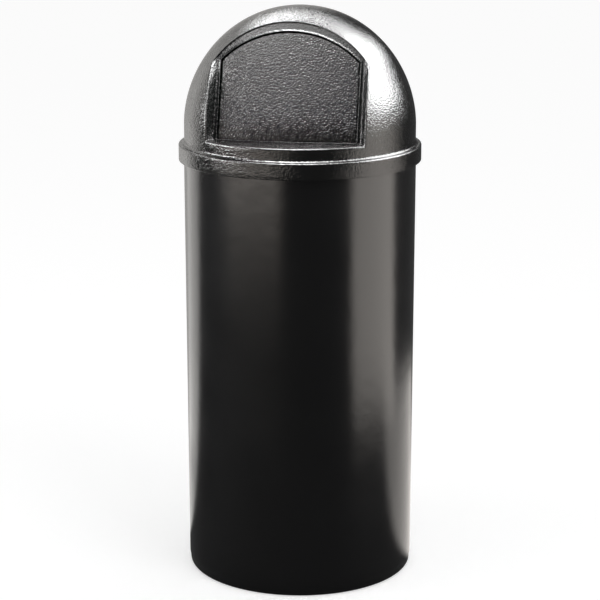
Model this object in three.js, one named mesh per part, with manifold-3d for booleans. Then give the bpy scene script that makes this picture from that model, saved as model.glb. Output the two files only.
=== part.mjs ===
// Dome top waste receptacle: a round container, a lift-off dome lid with a recessed doorway, and a
// push door that hangs inside it on a sprung hinge rod. Millimetres, +Z up, origin at the centre of
// the foot on the floor. The doorway faces -Y.
import * as THREE from 'three';
import { mergeVertices } from 'three/addons/utils/BufferGeometryUtils.js';
import Module from 'manifold-3d';

const wasm = await Module();
wasm.setup();

// ---- Driving dimensions -------------------------------------------------------------------------

// Container: a moulded tub, almost straight, with a rolled rim.
const RIM_HEIGHT = 704.2; // floor to the top of the rolled rim
const MOUTH_RADIUS = 186.9; // outside of the wall just under the rim
const TUB_TAPER = 1.7; // the wall's foot is this much nearer the middle than its mouth
const TUB_WALL = 3.5;
const FOOT_INSET = 1.4; // the foot stands this far inside the wall
const FOOT_ROUND = 5;
const FOOT_STEP_HEIGHT = 14; // where the foot's inset runs out into the wall
const FOOT_RING_WIDTH = 24; // flat ring the tub stands on
const FLOOR_RECESS = 8; // the underside is raised inside that ring
const BEAD_REACH = 4; // how far the rolled rim stands out from the wall
const BEAD_HEIGHT = 8;

// Bag retainer: a flat rubber band round the wall, under the rolled rim.
const BAND_THICKNESS = 2;
const BAND_HEIGHT = 9;

// Lid: skirt ring, ledge and dome, moulded as one wall.
const LID_WALL = 3.5;
const SKIRT_CLEARANCE = 0.85; // rolled rim to the inside of the skirt
const SKIRT_DEPTH = 26.2; // ledge to the bottom edge of the ring
const LEDGE_ROUND = 2.5;
const DOME_INSET = 0.7; // the dome's wall stands this far inside the tub's wall
const DOME_FOOT_FILLET = 4;
const DOME_STRAIGHT = 30; // upright part of the dome, above the ledge
const DOME_RISE = 189; // curved part of the dome
const DOME_RISE_POWER = 1.92; // exponents of the dome's superellipse
const DOME_RADIUS_POWER = 2.03;

// Doorway: a pocket with a sill, flared cheeks and a bowed face that leans back to meet the dome.
const OPENING_WIDTH = 250; // between the cheeks' edges on the dome
const FACE_WIDTH = 233; // between the cheeks at the face
const SILL_RISE = 21.5; // sill above the ledge
const SILL_DEPTH = 50.5; // dome's front to the face, along the sill
const FACE_LEAN = 19.2; // degrees back from upright
const FACE_BOW_RADIUS = 728;
const APERTURE_WIDTH = 221;
const APERTURE_ARCH_RADIUS = 156;
const ARCH_BAND = 17; // aperture to the height where the face would run out through the dome
const ARCH_LIP = 4; // the dome's cut edge stands this far in front of the face, round the arch
const APERTURE_CORNER_ROUND = 6;

// Door: a moulded panel whose raised field fills the aperture and whose rim closes behind the face.
const DOOR_WALL = 3.5;
const FIELD_GAP = 2.4; // round the raised field, in the aperture
const FIELD_RECESS = 2.5; // front of the field behind the face
const RIM_OVERLAP = 7; // rim behind the face, all round
const RIM_CLEARANCE = 1.7; // rim behind the back of the face
const RIB_THICKNESS = 2.5;
const RIB_DEPTH = 7;
const RIB_SPACING = 62;

// Hinge: a steel rod in two lugs under the dome, with the door's knuckles between them.
const HINGE_DROP = 5; // rod below the top of the aperture
const HINGE_SETBACK = 22.8; // rod behind the face
const ROD_RADIUS = 3;
const ROD_CLEARANCE = 0.4;
const LUG_RADIUS = 7.5;
const LUG_THICKNESS = 6;
const KNUCKLE_RADIUS = 7;
const KNUCKLE_WIDTH = 10;
const KNUCKLE_INNER = 44; // middle of the lid to the near end of a knuckle
const WASHER_RADIUS = 6;
const WASHER_THICKNESS = 1.1;
const NUT_RADIUS = 5.2;
const NUT_THICKNESS = 2.4;
const ROD_STANDOUT = 1; // rod past each push nut

// Door springs: torsion coils round the rod, one against each half of the door.
const WIRE_RADIUS = 0.8;
const COIL_RADIUS = 5.4; // to the middle of the wire
const COIL_CURLS = 7;
const COIL_PITCH = 2.2;
const DOOR_LEG = 36; // coil to the bend that presses on the door
const DOME_LEG = 24; // coil to the bend that stands under the dome
const WIRE_SIDES = 5;
const CURL_STEPS = 8;

// Rubber bumpers that the rim closes against.
const BUMPER_RADIUS = 2.6;
const BUMPER_RISE = 24; // above the sill

// Between pieces that touch.
const SEAT_GAP = 0.3;

const ROUND_STEPS = 64; // facets round the tub and the lid
const FACE_STEPS = 20; // facets across the bowed face
const ARCH_STEPS = 18;
const OVERRUN = 30; // cutters reach this far past what they cut

// ---- Sizes that follow ---------------------------------------------------------------------------

const rad = THREE.MathUtils.degToRad;
const lean = rad(FACE_LEAN);

const footRadius = MOUTH_RADIUS - TUB_TAPER;
const ledgeTop = RIM_HEIGHT + SEAT_GAP + LID_WALL;
const springLine = ledgeTop + DOME_STRAIGHT;
const crown = springLine + DOME_RISE;
const ringRadius = MOUTH_RADIUS + BEAD_REACH + SKIRT_CLEARANCE + LID_WALL;
const skirtBottom = ledgeTop - SKIRT_DEPTH;
const domeRadius = MOUTH_RADIUS - DOME_INSET;
const sillHeight = ledgeTop + SILL_RISE;
const faceAtSill = domeRadius - SILL_DEPTH;

const fieldBack = FIELD_RECESS + DOOR_WALL; // insets are measured square to the face
const rimFront = LID_WALL + RIM_CLEARANCE;
const rimBack = rimFront + DOOR_WALL;

// Radius of the dome's outside, or of a surface `inset` within it, at a height.
function domeRadiusAt(z, inset = 0) {
  const rise = THREE.MathUtils.clamp((z - springLine) / (DOME_RISE - inset), 0, 1);
  return (domeRadius - inset) * (1 - rise ** DOME_RISE_POWER) ** (1 / DOME_RADIUS_POWER);
}

// Y of the bowed, leaning face, or of a surface `inset` behind it.
function faceY(x, z, inset = 0) {
  const bow = FACE_BOW_RADIUS - Math.sqrt((FACE_BOW_RADIUS - inset) ** 2 - x ** 2);
  return -(faceAtSill - (z - sillHeight) * Math.tan(lean) - bow / Math.cos(lean));
}

// Height at which the dome's outside stands `forward` in front of the face, at a place across it.
function crossing(x, forward = 0) {
  let low = sillHeight;
  let high = crown;
  for (let step = 0; step < 50; step += 1) {
    const middle = (low + high) / 2;
    const dome = -Math.sqrt(Math.max(domeRadiusAt(middle) ** 2 - x ** 2, 0));
    if (faceY(x, middle) - dome > forward) low = middle;
    else high = middle;
  }
  return low;
}

const apertureTop = crossing(0) - ARCH_BAND;
const archCentre = apertureTop - APERTURE_ARCH_RADIUS;
const hingeZ = apertureTop - HINGE_DROP;
const hingeY = faceY(0, hingeZ) + HINGE_SETBACK;
const knuckleOuter = KNUCKLE_INNER + KNUCKLE_WIDTH;
const lugInner = knuckleOuter + WASHER_THICKNESS + 2 * SEAT_GAP;
const lugOuter = lugInner + LUG_THICKNESS;
const rodHalf = lugOuter + SEAT_GAP + NUT_THICKNESS + ROD_STANDOUT;

// ---- Solids ---------------------------------------------------------------------------------------

// A closed geometry as a solid, turned right side out.
function solid(geometry) {
  const bare = geometry.clone();
  bare.deleteAttribute('normal');
  bare.deleteAttribute('uv');
  const merged = mergeVertices(bare, 1e-4);
  const points = merged.attributes.position.array;
  const corners = [];
  for (let i = 0; i < merged.index.count; i += 3) {
    const [a, b, c] = [0, 1, 2].map((k) => merged.index.getX(i + k));
    if (a !== b && b !== c && c !== a) corners.push(a, b, c);
  }
  const at = (i) => new THREE.Vector3().fromArray(points, 3 * i);
  let volume = 0;
  for (let i = 0; i < corners.length; i += 3) {
    volume += at(corners[i]).dot(at(corners[i + 1]).cross(at(corners[i + 2])));
  }
  if (volume < 0) corners.reverse();
  return new wasm.Manifold(
    new wasm.Mesh({ numProp: 3, vertProperties: points, triVerts: new Uint32Array(corners) }),
  );
}

function geometryOf(body) {
  const mesh = body.getMesh();
  const geometry = new THREE.BufferGeometry();
  geometry.setAttribute('position', new THREE.BufferAttribute(mesh.vertProperties, 3));
  geometry.setIndex(new THREE.BufferAttribute(mesh.triVerts, 1));
  return geometry;
}

// A profile of [radius, height] pairs turned round the Z axis.
function revolve(profile, steps = ROUND_STEPS) {
  const points = profile.map(([r, z]) => new THREE.Vector2(r, z));
  return solid(new THREE.LatheGeometry(points, steps).rotateX(Math.PI / 2));
}

// Points of an arc in a profile, from one angle to another, in degrees.
function arc(r, z, radius, from, to, steps) {
  return Array.from({ length: steps + 1 }, (_, i) => {
    const angle = rad(from + ((to - from) * i) / steps);
    return [r + radius * Math.cos(angle), z + radius * Math.sin(angle)];
  });
}

// A skin over sections that have equally many points, each level in Z, with a cap at both ends.
function loft(rings) {
  const flat = (ring) => ring.map((p) => new THREE.Vector2(p.x, p.y));
  const clockwise = THREE.ShapeUtils.isClockWise(flat(rings[0]));
  const sections = clockwise ? rings.map((ring) => ring.toReversed()) : rings;
  const count = sections[0].length;
  const points = sections.flat();
  const corners = [];
  for (let level = 0; level < sections.length - 1; level += 1) {
    for (let i = 0; i < count; i += 1) {
      const a = level * count + i;
      const b = level * count + ((i + 1) % count);
      corners.push(a, b, b + count, a, b + count, a + count);
    }
  }
  const last = (sections.length - 1) * count;
  for (const [a, b, c] of THREE.ShapeUtils.triangulateShape(flat(sections[0]), [])) {
    corners.push(a, c, b, last + a, last + b, last + c);
  }
  const geometry = new THREE.BufferGeometry().setFromPoints(points);
  geometry.setIndex(corners);
  return solid(geometry);
}

// An outline of [x, z] pairs carried along Y between two places.
function prism(outline, fromY, toY) {
  const shape = new THREE.Shape(outline.map(([x, z]) => new THREE.Vector2(x, z)));
  const depth = toY - fromY;
  const geometry = new THREE.ExtrudeGeometry(shape, { depth, bevelEnabled: false, steps: 1 });
  return solid(geometry.rotateX(Math.PI / 2).translate(0, toY, 0));
}

function box(x0, x1, y0, y1, z0, z1) {
  const geometry = new THREE.BoxGeometry(x1 - x0, y1 - y0, z1 - z0);
  return solid(geometry.translate((x0 + x1) / 2, (y0 + y1) / 2, (z0 + z1) / 2));
}

// A round bar along X on the hinge line.
function hingeBar(radius, fromX, toX, sides = 24) {
  const geometry = new THREE.CylinderGeometry(radius, radius, toX - fromX, sides);
  geometry.rotateZ(Math.PI / 2).translate((fromX + toX) / 2, hingeY, hingeZ);
  return solid(geometry);
}

// ---- Doorway shapes -------------------------------------------------------------------------------

// The space in front of the face, between the cheeks and over the sill, grown by a wall.
function pocket(grow) {
  const half = OPENING_WIDTH / 2 + grow;
  const faceHalf = FACE_WIDTH / 2 + grow;
  const front = -(domeRadius + OVERRUN);
  const bottom = sillHeight - grow;
  const levels = 14;
  const sections = [];
  for (let level = 0; level <= levels; level += 1) {
    const z = bottom + ((crown + OVERRUN - bottom) * level) / levels;
    const section = [];
    for (let i = 0; i <= FACE_STEPS; i += 1) {
      const x = faceHalf * ((2 * i) / FACE_STEPS - 1);
      section.push(new THREE.Vector3(x, faceY(x, z, grow), z));
    }
    // The cheek flares from the face to the dome, and narrows to nothing where the two meet.
    const onDome = -Math.sqrt(Math.max(domeRadiusAt(z) ** 2 - half ** 2, 0));
    const edge = Math.min(onDome, faceY(faceHalf, z, grow) - SEAT_GAP);
    section.push(new THREE.Vector3(half, edge, z));
    section.push(new THREE.Vector3(half, front, z));
    section.push(new THREE.Vector3(-half, front, z));
    section.push(new THREE.Vector3(-half, edge, z));
    sections.push(section);
  }
  return loft(sections);
}

// The pocket as it is cut in the lid's outside: the dome's edge stays proud of the face at the arch.
function doorway() {
  const half = OPENING_WIDTH / 2;
  const head = Array.from({ length: FACE_STEPS + 1 }, (_, i) => {
    const x = half * (1 - (2 * i) / FACE_STEPS);
    return [x, crossing(x, ARCH_LIP)];
  });
  const side = half + OVERRUN;
  const foot = sillHeight - OVERRUN;
  const outline = [[-side, foot], [side, foot], [side, head[0][1]], ...head, [-side, head[0][1]]];
  return pocket(0).intersect(prism(outline, -domeRadius - 2 * OVERRUN, 0));
}

// Outline of the aperture, grown all round: level foot, upright sides, arched head.
function archOutline(grow, foot, cornerRound) {
  const half = APERTURE_WIDTH / 2 + grow;
  const radius = APERTURE_ARCH_RADIUS + grow;
  const spread = Math.asin(half / radius);
  const head = Array.from({ length: ARCH_STEPS + 1 }, (_, i) => {
    const angle = spread * (1 - (2 * i) / ARCH_STEPS);
    return [radius * Math.sin(angle), archCentre + radius * Math.cos(angle)];
  });
  return [
    ...arc(-half + cornerRound, foot + cornerRound, cornerRound, 180, 270, 3),
    ...arc(half - cornerRound, foot + cornerRound, cornerRound, 270, 360, 3),
    ...head,
  ];
}

// A bowed slab between two insets behind the face, cut to an outline.
function bowedPlate(outline, frontInset, backInset) {
  const half = Math.max(...outline.map(([x]) => x)) + 1;
  const foot = Math.min(...outline.map(([, z]) => z)) - 1;
  const head = Math.max(...outline.map(([, z]) => z)) + 1;
  const across = Array.from({ length: FACE_STEPS + 1 }, (_, i) => half * ((2 * i) / FACE_STEPS - 1));
  const sections = [foot, head].map((z) => [
    ...across.map((x) => new THREE.Vector3(x, faceY(x, z, frontInset), z)),
    ...across.toReversed().map((x) => new THREE.Vector3(x, faceY(x, z, backInset), z)),
  ]);
  return loft(sections).intersect(prism(outline, -domeRadius - OVERRUN, 0));
}

// ---- Container ------------------------------------------------------------------------------------

function containerBody() {
  const beadTop = RIM_HEIGHT;
  const beadFoot = RIM_HEIGHT - BEAD_HEIGHT;
  const beadRadius = MOUTH_RADIUS + BEAD_REACH;
  const beadRound = BEAD_REACH / 2;
  const foot = footRadius - FOOT_INSET;
  const ringInside = foot - FOOT_RING_WIDTH;
  const inside = footRadius - TUB_WALL;
  const floor = FLOOR_RECESS + TUB_WALL;
  return revolve([
    [0, FLOOR_RECESS],
    [ringInside - FLOOR_RECESS / 2, FLOOR_RECESS],
    [ringInside, 0],
    ...arc(foot - FOOT_ROUND, FOOT_ROUND, FOOT_ROUND, -90, 0, 3),
    [foot, FOOT_STEP_HEIGHT],
    [footRadius, FOOT_STEP_HEIGHT + FOOT_INSET],
    [MOUTH_RADIUS, beadFoot - beadRound],
    [beadRadius - beadRound, beadFoot],
    ...arc(beadRadius - beadRound, beadFoot + beadRound, beadRound, -45, 0, 1),
    ...arc(beadRadius - beadRound, beadTop - beadRound, beadRound, 0, 90, 3),
    ...arc(MOUTH_RADIUS - TUB_WALL + beadRound, beadTop - beadRound, beadRound, 90, 180, 3),
    [inside, floor + FOOT_ROUND],
    ...arc(inside - FOOT_ROUND, floor + FOOT_ROUND, FOOT_ROUND, 0, -90, 2).slice(1),
    [0, floor],
  ]);
}

function bagRetainerBand() {
  const inside = MOUTH_RADIUS + SEAT_GAP;
  const top = RIM_HEIGHT - BEAD_HEIGHT - BEAD_REACH / 2 - SEAT_GAP;
  return revolve([
    [inside, top - BAND_HEIGHT],
    [inside + BAND_THICKNESS, top - BAND_HEIGHT],
    [inside + BAND_THICKNESS, top],
    [inside, top],
    [inside, top - BAND_HEIGHT],
  ]);
}

// ---- Lid ------------------------------------------------------------------------------------------

// The dome as a full solid, `inset` within its outside.
function domeCurve(inset) {
  const steps = 14;
  return Array.from({ length: steps + 1 }, (_, i) => {
    // Even turns of the curve keep the facets small where it bends most.
    const turn = (Math.PI / 2) * (i / steps);
    const z = springLine + (DOME_RISE - inset) * Math.sin(turn) ** (2 / DOME_RISE_POWER);
    return [i === steps ? 0 : (domeRadius - inset) * Math.cos(turn) ** (2 / DOME_RADIUS_POWER), z];
  });
}

function lidOutside() {
  const ledgeRadius = ringRadius - LEDGE_ROUND;
  const fillet = arc(
    domeRadius + DOME_FOOT_FILLET, ledgeTop + DOME_FOOT_FILLET, DOME_FOOT_FILLET, 270, 180, 3,
  );
  return revolve([
    [0, skirtBottom],
    [ringRadius, skirtBottom],
    ...arc(ledgeRadius, ledgeTop - LEDGE_ROUND, LEDGE_ROUND, 0, 90, 3),
    ...fillet,
    ...domeCurve(0),
  ]);
}

function lidInside() {
  const skirtInside = ringRadius - LID_WALL;
  return revolve([
    [0, skirtBottom - OVERRUN],
    [skirtInside, skirtBottom - OVERRUN],
    [skirtInside, ledgeTop - LID_WALL],
    [domeRadius - LID_WALL, ledgeTop - LID_WALL],
    ...domeCurve(LID_WALL),
  ]);
}

// The two lugs that hold the hinge rod, each a round eye on a stalk from the dome's crown.
function hingeLugs() {
  const reach = revolve([[0, skirtBottom], [domeRadius, skirtBottom], ...domeCurve(LID_WALL / 2)]);
  const lugs = [-1, 1].map((side) => {
    const from = side < 0 ? -lugOuter : lugInner;
    const eye = hingeBar(LUG_RADIUS, from, from + LUG_THICKNESS);
    const stalk = box(from, from + LUG_THICKNESS, hingeY - LUG_RADIUS, hingeY + LUG_RADIUS, hingeZ, crown);
    return eye.add(stalk);
  });
  const bore = hingeBar(ROD_RADIUS + ROD_CLEARANCE, -lugOuter - 1, lugOuter + 1);
  return lugs[0].add(lugs[1]).intersect(reach).subtract(bore);
}

function domeTop() {
  const cavity = lidInside().subtract(pocket(LID_WALL));
  const shell = lidOutside().subtract(doorway()).subtract(cavity);
  const aperture = prism(archOutline(0, sillHeight, 1), -domeRadius - OVERRUN, hingeY);
  return shell.subtract(aperture).add(hingeLugs());
}

function doorBumper(side) {
  const geometry = new THREE.CylinderGeometry(
    BUMPER_RADIUS, BUMPER_RADIUS, RIM_CLEARANCE - 2 * SEAT_GAP, 16,
  );
  const x = (side * (APERTURE_WIDTH + RIM_OVERLAP)) / 2;
  const turn = Math.asin(x / FACE_BOW_RADIUS);
  const outward = new THREE.Vector3(
    Math.sin(turn), -Math.cos(lean) * Math.cos(turn), Math.sin(lean) * Math.cos(turn),
  );
  const z = sillHeight + BUMPER_RISE;
  const middle = LID_WALL + RIM_CLEARANCE / 2;
  const mesh = new THREE.Mesh(geometryOf(solid(geometry)));
  mesh.position.set(x, faceY(x, z, middle), z);
  mesh.quaternion.setFromUnitVectors(new THREE.Vector3(0, 1, 0), outward);
  return mesh;
}

// ---- Door -----------------------------------------------------------------------------------------

function pushDoor() {
  const rimFoot = sillHeight - RIM_OVERLAP;
  const fieldFoot = sillHeight + FIELD_GAP;
  const rim = bowedPlate(archOutline(RIM_OVERLAP, rimFoot, APERTURE_CORNER_ROUND), rimFront, rimBack);
  const field = bowedPlate(archOutline(-FIELD_GAP, fieldFoot, APERTURE_CORNER_ROUND), FIELD_RECESS, rimBack);
  const hollow = bowedPlate(
    archOutline(-FIELD_GAP - DOOR_WALL, fieldFoot + DOOR_WALL, APERTURE_CORNER_ROUND), fieldBack, rimBack + 1,
  );
  let door = rim.add(field).subtract(hollow);

  // Upright ribs stiffen the back of the field.
  const ribHead = hingeZ - KNUCKLE_RADIUS - RIB_DEPTH;
  for (let x = -RIB_SPACING; x <= RIB_SPACING; x += RIB_SPACING) {
    const outline = [
      [x - RIB_THICKNESS / 2, fieldFoot + DOOR_WALL / 2], [x + RIB_THICKNESS / 2, fieldFoot + DOOR_WALL / 2],
      [x + RIB_THICKNESS / 2, ribHead], [x - RIB_THICKNESS / 2, ribHead],
    ];
    door = door.add(bowedPlate(outline, fieldBack - 0.5, fieldBack + RIB_DEPTH));
  }

  // A knuckle near each end of the rod, on an arm from the back of the rim.
  const knuckles = [-1, 1].map((side) => {
    const from = side < 0 ? -knuckleOuter : KNUCKLE_INNER;
    const to = from + KNUCKLE_WIDTH;
    const armFront = faceY(from, hingeZ, (rimFront + rimBack) / 2);
    const arm = box(from, to, armFront, hingeY, hingeZ - KNUCKLE_RADIUS, hingeZ + KNUCKLE_RADIUS / 3);
    return hingeBar(KNUCKLE_RADIUS, from, to).add(arm);
  });
  const bore = hingeBar(ROD_RADIUS + ROD_CLEARANCE, -knuckleOuter - 1, knuckleOuter + 1);
  return door.add(knuckles[0]).add(knuckles[1]).subtract(bore);
}

// ---- Hinge hardware ---------------------------------------------------------------------------------

// A washer or push nut on the rod, from one x outward by its thickness, on either side.
function rodRing(side, near, thickness, radius) {
  const from = side < 0 ? -near - thickness : near;
  const ring = hingeBar(radius, from, from + thickness);
  return ring.subtract(hingeBar(ROD_RADIUS + ROD_CLEARANCE, from - 1, from + thickness + 1));
}

// Points that round the corner at `b` on the way from `a` to `c`.
function roundedCorner(a, b, c, steps = 4) {
  const radius = 3 * WIRE_RADIUS;
  const into = a.clone().sub(b).setLength(radius).add(b);
  const out = c.clone().sub(b).setLength(radius).add(b);
  return new THREE.QuadraticBezierCurve3(into, b, out).getPoints(steps);
}

// Height of the inside of the dome over a place.
function ceilingOver(x, y) {
  const share = Math.hypot(x, y) / (domeRadius - LID_WALL);
  const rise = (1 - share ** DOME_RADIUS_POWER) ** (1 / DOME_RISE_POWER);
  return springLine + (DOME_RISE - LID_WALL) * rise;
}

// Middle line of a torsion spring. One leg stands square under the dome, the coil winds round the
// rod towards the knuckle, and the other leg runs down the door's back to a foot square to it.
function springPath(side) {
  const last = KNUCKLE_INNER - SEAT_GAP - WIRE_RADIUS;
  const first = last - COIL_CURLS * COIL_PITCH;
  const startTurn = Math.PI / 2;
  const endTurn = Math.PI - lean + 2 * Math.PI * COIL_CURLS;
  const steps = Math.round((CURL_STEPS * (endTurn - startTurn)) / (2 * Math.PI));
  const coil = Array.from({ length: steps + 1 }, (_, i) => {
    const turn = startTurn + ((endTurn - startTurn) * i) / steps;
    const x = side * (first + ((last - first) * i) / steps);
    return new THREE.Vector3(
      x, hingeY + COIL_RADIUS * Math.cos(turn), hingeZ + COIL_RADIUS * Math.sin(turn),
    );
  });

  const head = coil[0].clone().add(new THREE.Vector3(0, DOME_LEG, 0));
  const tip = head.clone().setZ(ceilingOver(head.x, head.y) - 2 * SEAT_GAP);
  const downDoor = new THREE.Vector3(0, -Math.sin(lean), -Math.cos(lean));
  const heel = coil[steps].clone().addScaledVector(downDoor, DOOR_LEG);
  const toDoor = new THREE.Vector3(0, -Math.cos(lean), Math.sin(lean));
  const behindFace = (heel.y - faceY(heel.x, heel.z)) * Math.cos(lean);
  const toe = heel.clone().addScaledVector(toDoor, behindFace - fieldBack - SEAT_GAP);
  return [
    tip, ...roundedCorner(tip, head, coil[0]), ...coil, ...roundedCorner(coil[steps], heel, toe), toe,
  ];
}

// Least distance between two curls of a wire, less the wire.
function leastGap(path) {
  let least = Infinity;
  for (let i = 0; i < path.length; i += 1) {
    for (let j = i + CURL_STEPS / 2; j < path.length; j += 1) {
      least = Math.min(least, path[i].distanceTo(path[j]));
    }
  }
  return least - 2 * WIRE_RADIUS;
}

// A round wire along a path, with flat ends.
function wire(path, radius) {
  const points = [];
  const corners = [];
  let across = new THREE.Vector3(1, 0, 0);
  path.forEach((point, i) => {
    const ahead = path[Math.min(i + 1, path.length - 1)];
    const behind = path[Math.max(i - 1, 0)];
    const along = ahead.clone().sub(behind).normalize();
    across = across.clone().addScaledVector(along, -across.dot(along)).normalize();
    const third = along.clone().cross(across);
    for (let k = 0; k < WIRE_SIDES; k += 1) {
      const turn = (2 * Math.PI * k) / WIRE_SIDES;
      points.push(point.clone()
        .addScaledVector(across, radius * Math.cos(turn))
        .addScaledVector(third, radius * Math.sin(turn)));
    }
    if (i === 0) return;
    for (let k = 0; k < WIRE_SIDES; k += 1) {
      const a = (i - 1) * WIRE_SIDES + k;
      const b = (i - 1) * WIRE_SIDES + ((k + 1) % WIRE_SIDES);
      corners.push(a, b, b + WIRE_SIDES, a, b + WIRE_SIDES, a + WIRE_SIDES);
    }
  });
  const last = (path.length - 1) * WIRE_SIDES;
  for (let k = 1; k < WIRE_SIDES - 1; k += 1) {
    corners.push(0, k + 1, k, last, last + k, last + k + 1);
  }
  const geometry = new THREE.BufferGeometry().setFromPoints(points);
  geometry.setIndex(corners);
  return solid(geometry);
}

function hingeSpring(side) {
  const path = springPath(side);
  console.log(`hinge spring, least gap between curls: ${leastGap(path).toFixed(2)} mm`);
  return wire(path, WIRE_RADIUS);
}

// ---- The receptacle -----------------------------------------------------------------------------------

const plastic = new THREE.MeshStandardMaterial({ color: 0x141414, roughness: 0.42, metalness: 0 });
const lidPlastic = new THREE.MeshStandardMaterial({ color: 0x161616, roughness: 0.38, metalness: 0 });
const doorPlastic = new THREE.MeshStandardMaterial({ color: 0x181817, roughness: 0.45, metalness: 0 });
const rubber = new THREE.MeshStandardMaterial({ color: 0x1c1c1c, roughness: 0.85, metalness: 0 });
const nylon = new THREE.MeshStandardMaterial({ color: 0xd8d6cc, roughness: 0.5, metalness: 0 });
const steel = new THREE.MeshStandardMaterial({ color: 0x9a9c9e, roughness: 0.3, metalness: 1 });

function named(name, body, material) {
  const mesh = body.isMesh ? body : new THREE.Mesh(geometryOf(body));
  mesh.name = name;
  mesh.material = material.clone();
  return mesh;
}

const container = new THREE.Group();
container.add(named('container_body', containerBody(), plastic));
container.add(named('bag_retainer_band', bagRetainerBand(), rubber));

const lid = new THREE.Group();
lid.add(named('dome_top', domeTop(), lidPlastic));
lid.add(named('hinge_rod', hingeBar(ROD_RADIUS, -rodHalf, rodHalf), steel));
for (const [side, hand] of [[-1, 'left'], [1, 'right']]) {
  const washer = rodRing(side, knuckleOuter + SEAT_GAP, WASHER_THICKNESS, WASHER_RADIUS);
  const nut = rodRing(side, lugOuter + SEAT_GAP, NUT_THICKNESS, NUT_RADIUS);
  lid.add(named(`hinge_washer_${hand}`, washer, nylon));
  lid.add(named(`push_nut_${hand}`, nut, steel));
  lid.add(named(`hinge_spring_${hand}`, hingeSpring(side), steel));
  lid.add(named(`door_bumper_${hand}`, doorBumper(side), rubber));
}

const door = new THREE.Group();
door.add(named('push_door', pushDoor(), doorPlastic));

const receptacle = new THREE.Group();
receptacle.add(container, lid, door);

export default receptacle;
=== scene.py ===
import math

import bmesh
import bpy
import numpy as np
from mathutils import Matrix, Vector
from mathutils.geometry import delaunay_2d_cdt


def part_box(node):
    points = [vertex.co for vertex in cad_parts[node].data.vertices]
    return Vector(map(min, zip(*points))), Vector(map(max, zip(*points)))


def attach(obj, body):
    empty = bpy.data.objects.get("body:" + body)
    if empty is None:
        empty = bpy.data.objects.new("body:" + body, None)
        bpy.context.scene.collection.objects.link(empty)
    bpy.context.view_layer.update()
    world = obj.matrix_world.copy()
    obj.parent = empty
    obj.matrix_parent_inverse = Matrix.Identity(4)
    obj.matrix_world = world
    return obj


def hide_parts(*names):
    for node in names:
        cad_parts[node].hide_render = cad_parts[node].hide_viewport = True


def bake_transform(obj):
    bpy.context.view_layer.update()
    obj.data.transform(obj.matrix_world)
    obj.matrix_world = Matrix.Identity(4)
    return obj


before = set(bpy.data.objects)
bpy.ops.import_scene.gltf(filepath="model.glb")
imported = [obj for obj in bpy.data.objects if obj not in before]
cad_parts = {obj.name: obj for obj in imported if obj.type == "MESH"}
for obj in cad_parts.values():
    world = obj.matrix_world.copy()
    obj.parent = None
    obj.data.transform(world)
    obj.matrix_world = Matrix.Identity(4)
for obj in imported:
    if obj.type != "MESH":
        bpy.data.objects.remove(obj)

scene = bpy.context.scene
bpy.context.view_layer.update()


# ---- Container -------------------------------------------
# The tub that the bag stands in: near-black polyethylene, moulded in one piece with a rolled rim.
# Its wall is almost upright, smooth and lightly glossy, and it stands on a flat ring under the foot.

RIM_HEIGHT = 0.7042
FOOT_RADIUS = 0.1852
MOUTH_RADIUS = 0.1869
TUB_WALL = 0.0035
FOOT_INSET = 0.0014
FOOT_ROUND = 0.005
FOOT_STEP_HEIGHT = 0.014
FOOT_RING_WIDTH = 0.024
FLOOR_RECESS = 0.008
FOOT_RING_ROUND = 0.002
STEP_ROUND = 0.0012
STEP_FACE = 0.001
BEAD_REACH = 0.004
BEAD_HEIGHT = 0.008
BEAD_TUCK = 0.003
MOUTH_ROLL = 0.0025
WALL_LOW, WALL_SPAN, WALL_ROWS = 0.03, 0.66, 22
TUB_FACETS = 240

TUB_BLACK = (0.0035, 0.0035, 0.0037)


class Graph:
    """A node tree that is wired call by call; a value is a number, a tuple, or another node's socket."""

    def __init__(self, tree):
        self.tree, self.nodes = tree, tree.nodes

    def node(self, kind, settings=None, **values):
        """Adds a node. A value's underscores stand for the spaces in its socket's name."""
        node = self.nodes.new(kind)
        for name, value in (settings or {}).items():
            setattr(node, name, value)
        for name, value in values.items():
            self.feed(node.inputs[name.replace("_", " ")], value)
        return node

    def feed(self, socket, value):
        if isinstance(value, bpy.types.NodeSocket):
            self.tree.links.new(value, socket)
        else:
            socket.default_value = value

    def chain(self, *nodes):
        """Links the first output of each node to the first input of the next."""
        for before, after in zip(nodes, nodes[1:]):
            self.feed(after.inputs[0], before.outputs[0])

    def maths(self, operation, *values):
        node = self.node("ShaderNodeMath", {"operation": operation})
        for socket, value in zip(node.inputs, values):
            self.feed(socket, value)
        return node.outputs[0]

    def times(self, *values):
        return self.maths("MULTIPLY", *values)

    def vector(self, **axes):
        return self.node("ShaderNodeCombineXYZ", **axes).outputs[0]

    def split(self, vector):
        return self.node("ShaderNodeSeparateXYZ", Vector=vector).outputs

    def place(self):
        return self.node("ShaderNodeTexCoord").outputs["Object"]

    def noise(self, place, scale, detail=2):
        return self.node("ShaderNodeTexNoise", Vector=place, Scale=scale, Detail=detail).outputs["Fac"]

    def spread(self, value, low, high, **limits):
        """Maps 0 to 1, or the given limits, on to low to high."""
        node = self.node("ShaderNodeMapRange", Value=value, To_Min=low, To_Max=high, **limits)
        return node.outputs["Result"]

    def mixed(self, amount, dark, pale):
        mix = self.node("ShaderNodeMixRGB", Fac=amount, Color1=(*dark, 1), Color2=(*pale, 1))
        return mix.outputs["Color"]

    def bump(self, height, depth, under=None):
        node = self.node("ShaderNodeBump", Distance=depth, Height=height)
        if under:
            self.feed(node.inputs["Normal"], under)
        return node.outputs["Normal"]


def new_material(name):
    """A material, its graph and its shader's inputs."""
    material = bpy.data.materials.new(name)
    material.use_nodes = True
    graph = Graph(material.node_tree)
    return material, graph, graph.nodes["Principled BSDF"].inputs


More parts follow.
